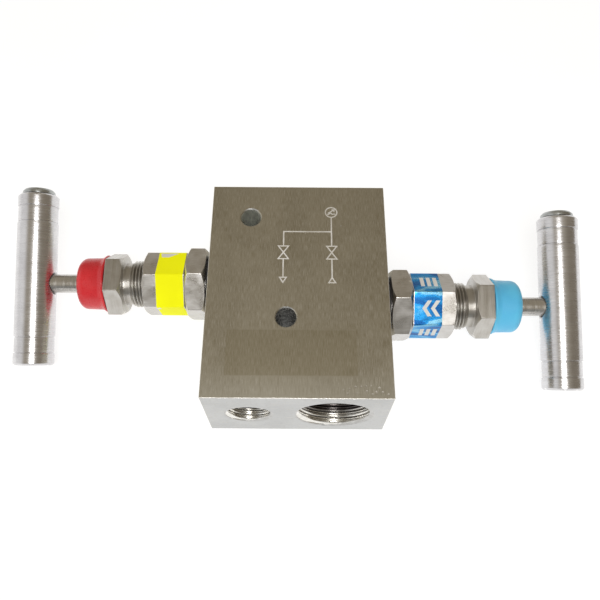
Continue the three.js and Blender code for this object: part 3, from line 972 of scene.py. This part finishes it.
def stem(lift):
    m = STEM

    def rows(angle):
        thread = thread_column(m["thread_from"], m["thread_to"], angle, STEM_THREAD, chamfer=0.4)
        foot = [
            (0, m["socket_to"]), (m["socket"], m["socket_to"]), (m["socket"], m["socket_from"]),
            (m["lip"], m["socket_from"]), (m["lip"], m["from"]), (m["foot"], m["from"], 0.3),
            (m["foot"], m["thread_from"], 0.1),
        ]
        rod = [
            (m["rod"], m["cone_to"], 0.2), (m["rod"], m["to"], 0.4), (m["tapped"], m["to"]),
            (m["tapped"], m["tapped_from"]), (0, m["tapped_from"]),
        ]
        column = [*filleted([*foot, thread[0]])[:-1], *thread, *filleted([thread[-1], *rod])[1:]]
        return [(r, s + lift) for r, s in column]

    return swept(rows, round_angles(72), THREAD_SPAN)


def bar_outline():
    """Half of the handle bar's section from its front end to its rear end."""
    h = HANDLE
    radius, slim, groove = h["radius"], h["slim"], h["groove"]

    def end(length):
        collar = length - h["collar"]
        ring_from = collar - h["ring"]
        return [
            (radius, ring_from - groove, 0.06), (slim, ring_from - groove + 0.05, 0.05),
            (slim, ring_from - 0.05, 0.05), (h["ring_radius"], ring_from, 0.06),
            (h["ring_radius"], collar - groove, 0.06),
            (slim, collar - groove + 0.05, 0.05), (slim, collar - 0.05, 0.05), (radius, collar, 0.1),
            (radius, length - h["edge"], 0.25), (radius - h["edge"], length, 0.25),
        ]

    front = [(r, -s, f) for r, s, f in reversed(end(h["front"]))]
    return [(0, -h["front"]), *front, *end(h["rear"]), (0, h["rear"])]


# The handle bar's bores: the plug's along the bar, the stem's and the screw's along the stem.
PLUG_BORE = [(0, 14), (4.2, 14.6), (4.2, 30), (0, 30)]
STEM_BORE = [(0, -8), (4.6, -8), (3.3, -5.4), (3.3, 1.0), (0, 1.0)]
SCREW_BORE = [(0, 0), (1.8, 0), (1.8, 2.6), (3.1, 2.6), (3.1, 5.8), (3.6, 6.5), (3.6, 8), (0, 8)]


def handle_bar(valve):
    base = bar_frame(valve)
    along_stem = base @ Matrix.Rotation(math.radians(90), 4, "X")
    made = to_object(turned(bar_outline(), 128), valve + "_bar", base)
    cut(made, to_object(turned(PLUG_BORE, 64), "plug_bore", base))
    cut(made, to_object(turned(STEM_BORE, 64), "stem_bore", along_stem))
    cut(made, to_object(turned(SCREW_BORE, 48), "screw_bore", along_stem))
    return made


def handle_plug():
    seat = HANDLE["rear"] + 0.3
    outline = [
        (0, 18), (3.5, 18, 0.2), (3.9, 18.5, 0.2), (3.9, seat, 0.1), (5.1, seat, 0.15),
        (4.95, seat + 0.9, 0.5), (4.2, seat + 1.65, 0.5), (0, seat + 1.75),
    ]
    return turned(outline, 72)


def handle_screw():
    outline = [
        (0, -4), (1.2, -4, 0.1), (1.5, -3.6, 0.1), (1.5, 2.9, 0.1), (2.8, 2.9, 0.15), (2.8, 5.4, 0.3),
        (1.6, 5.4, 0.1), (1.45, 5.25, 0.05), (1.45, 3.8), (0, 3.6),
    ]
    return turned(outline, 60)


def band_strip(bm, hexagon, a0, a1, starts, ends, steps=10):
    """A thin raised patch on a band, between two angles. starts and ends are its stations at each angle."""
    columns = []
    for i in range(steps + 1):
        t = i / steps
        angle = a0 + (a1 - a0) * t
        low = starts[0] + (starts[1] - starts[0]) * t
        high = ends[0] + (ends[1] - ends[0]) * t
        base, top = hexagon.radius(angle) - 0.02, hexagon.radius(angle) + 0.03
        sine, cosine = math.sin(angle), math.cos(angle)
        corners = ((base, low), (top, low), (top, high), (base, high))
        columns.append([bm.verts.new((r * sine, s, r * cosine)) for r, s in corners])
    for first, second in zip(columns, columns[1:]):
        for k in range(4):
            bm.faces.new((first[k], first[(k + 1) % 4], second[(k + 1) % 4], second[k]))
    bm.faces.new(columns[0])
    bm.faces.new(columns[-1][::-1])


# The tabs on the yellow band: direction and half width in degrees, then their stations at both sides.
TABS = [(48, 5, (41.0, 38.0), (43.2, 43.6)), (168, 4, (42.9, 43.1), (44.0, 43.9))]


def band_marks(valve):
    """Generic printed marks: chevrons and bars on the blue band, two plain tabs on the yellow one."""
    hexagon = Hexagon(BONNET_FLATS + 2 * BAND["thickness"], BAND["round"])
    bm = bmesh.new()
    if valve == "vent":
        for clock, half, starts, ends in TABS:
            angle = -math.radians(clock - VALVES[valve]["bonnet_clock"])
            band_strip(bm, hexagon, angle - math.radians(half), angle + math.radians(half), starts, ends)
    else:
        for i in range(6):
            middle = TAU * (i + 0.5) / 6
            half = math.radians(15)
            if i % 2:
                for s in (38.0, 40.6):
                    band_strip(bm, hexagon, middle - half, middle, (s + 1.6, s), (s + 2.9, s + 1.3))
                    band_strip(bm, hexagon, middle, middle + half, (s, s + 1.6), (s + 1.3, s + 2.9))
            else:
                for s in (38.0, 40.0, 42.0):
                    band_strip(bm, hexagon, middle - half, middle + half, (s, s), (s + 1.2, s + 1.2))
    bmesh.ops.recalc_face_normals(bm, faces=bm.faces)
    return bm


BANDS = {"vent": ("yellow_band", YELLOW_FILM), "isolate": ("blue_band", BLUE_FOIL)}
CAPS = {"vent": ("red_cap", RED_VINYL, 1, 1.0), "isolate": ("blue_cap", BLUE_VINYL, 2, 0.7)}
STUFFING = [
    ("packing_washer", "inner_steel", INNER_STEEL), ("packing_ring_lower", "packing", PACKING),
    ("packing_ring_upper", "packing", PACKING), ("gland_follower", "inner_steel", INNER_STEEL),
]


def build_valve(valve):
    v = VALVES[valve]
    base = valve_frame(valve)
    nut_at = clocked_frame(valve, v["nut_clock"])
    bonnet_at = clocked_frame(valve, v["bonnet_clock"])
    gland_at = clocked_frame(valve, v["gland_clock"])
    lift = stations(valve, "stem")[0] - STEM["from"]

    def fixed(bm, part, matrix, material):
        place(to_object(bm, f"{valve}_{part}_look", matrix), "root", f"{valve}_{part}", material)

    seal = ring(SEAL_RING["inner"], SEAL_RING["outer"], *stations(valve, "bonnet_seal_ring"), 0.35)
    fixed(seal, "bonnet_seal_ring", base, SEAL_RUBBER)
    fixed(lock_nut(), "bonnet_lock_nut", nut_at, NUT_STEEL)
    fixed(bonnet(), "bonnet", bonnet_at, NUT_STEEL)
    fixed(gland_bolt(), "gland_bolt", gland_at, GLAND_STEEL)
    slot, film = BANDS[valve]
    fixed(colour_band(), "colour_band", bonnet_at, film)
    marks = to_object(band_marks(valve), f"{valve}_band_marks", bonnet_at)
    place(marks, "root", None, WHITE_FILM)
    slot, skin, seed, flare = CAPS[valve]
    fixed(dust_cap(seed, flare), "dust_cap", base, skin)
    for part, slot, material in STUFFING:
        fixed(stuffing_ring(valve, part), part, base, material)

    tip = to_object(needle_tip(lift), f"{valve}_needle_tip_look", base)
    place(tip, f"{valve}_needle", f"{valve}_needle_tip", INNER_STEEL)
    spindle = f"{valve}_spindle"
    rod = to_object(stem(lift), f"{valve}_stem_look", base)
    place(rod, spindle, f"{valve}_stem", STEM_STEEL)
    bar_at = bar_frame(valve)
    place(handle_bar(valve), spindle, f"{valve}_handle_bar", HANDLE_STEEL)
    plug = to_object(handle_plug(), f"{valve}_plug_look", bar_at)
    place(plug, spindle, f"{valve}_handle_plug", PLUG_STEEL)
    along_stem = bar_at @ Matrix.Rotation(math.radians(90), 4, "X")
    screw = to_object(handle_screw(), f"{valve}_screw_look", along_stem)
    place(screw, spindle, f"{valve}_handle_screw", SCREW_STEEL)


for valve_name in VALVES:
    build_valve(valve_name)


# --- Stage, light and camera --------------------------------------------------------------------

FLOOR_GLOW = 2.8


def build_floor():
    bm = bmesh.new()
    bmesh.ops.create_grid(bm, x_segments=2, y_segments=2, size=3000)
    floor = to_object(bm, "floor", Matrix.Translation((0, 0, BLOCK_LOW.z * MM)))
    s = Shader("floor")
    mottle = s.noise((0.01, 0.01, 0.01), 3, 0.5)
    colour = s.mix(s.ramp(mottle, 0.3, 0.7), (0.295, 0.295, 0.295), (0.305, 0.305, 0.305))
    s.link(colour, s.surface.inputs["Emission Color"])
    floor.data.materials.append(s.finish(colour, 0.85, metallic=0.0, Emission_Strength=FLOOR_GLOW))


# What the room looks like from the object, by direction.
ROOM_BEHIND = (0.35, 0.31, 0.245)
ROOM_FRONT = (0.30, 0.30, 0.29)
ROOM_LEFT = (0.85, 0.84, 0.83)
ROOM_RIGHT = (0.25, 0.215, 0.165)


def build_world():
    """Dim and warm behind and overhead, paler in front, bright on the left and dimmest on the right."""
    world = bpy.data.worlds.new("room")
    bpy.context.scene.world = world
    s = NodeTree(world)
    x, y, z = s.split(s.node("TexCoord").outputs["Generated"])
    front = s.maths("MULTIPLY", s.ramp(y, -0.25, -0.7), s.ramp(z, 0.75, 0.35))
    colour = s.mix(front, ROOM_BEHIND, ROOM_FRONT)
    colour = s.mix(s.ramp(x, 0.35, 0.65), colour, ROOM_RIGHT)
    colour = s.mix(s.ramp(x, -0.5, -0.8), colour, ROOM_LEFT)
    background = s.node("Background")
    s.link(colour, background.inputs["Color"])
    s.link(background.outputs[0], s.node("OutputWorld").inputs["Surface"])


def softbox(name, direction, distance, size, radiance, target=Vector((0, 0, 20))):
    light = bpy.data.lights.new(name, "AREA")
    light.shape = "RECTANGLE"
    light.size, light.size_y = size[0] * MM, size[1] * MM
    light.energy = radiance * math.pi * light.size * light.size_y
    made = bpy.data.objects.new(name, light)
    toward = Vector(direction).normalized()
    made.location = (target + toward * distance) * MM
    made.rotation_euler = toward.to_track_quat("Z", "Y").to_euler()
    bpy.context.scene.collection.objects.link(made)


CAMERA_PLACE = Vector((0.5, -89.9, 207.2))
CAMERA_DOWN, CAMERA_YAW, CAMERA_ROLL = 64.2, 0.1, 0.5
CAMERA_LENS = 39.83
CAMERA_SHIFT = 0.0008


def build_camera():
    data = bpy.data.cameras.new("camera")
    data.lens = CAMERA_LENS
    data.sensor_width = 36
    data.shift_y = CAMERA_SHIFT
    data.clip_start = 0.01
    data.clip_end = 20
    camera = bpy.data.objects.new("camera", data)
    camera.location = CAMERA_PLACE * MM
    camera.rotation_mode = "XYZ"
    tilt = Matrix.Rotation(math.radians(90 - CAMERA_DOWN), 3, "X")
    yaw, roll = (Matrix.Rotation(math.radians(angle), 3, "Z") for angle in (-CAMERA_YAW, CAMERA_ROLL))
    camera.rotation_euler = (yaw @ tilt @ roll).to_euler()
    bpy.context.scene.collection.objects.link(camera)
    bpy.context.scene.camera = camera


build_floor()
build_world()
softbox("front_box", direction=(0.0, -0.47, 0.88), distance=470, size=(150, 240), radiance=9.0)
build_camera()
bpy.context.scene.view_settings.view_transform = "Standard"
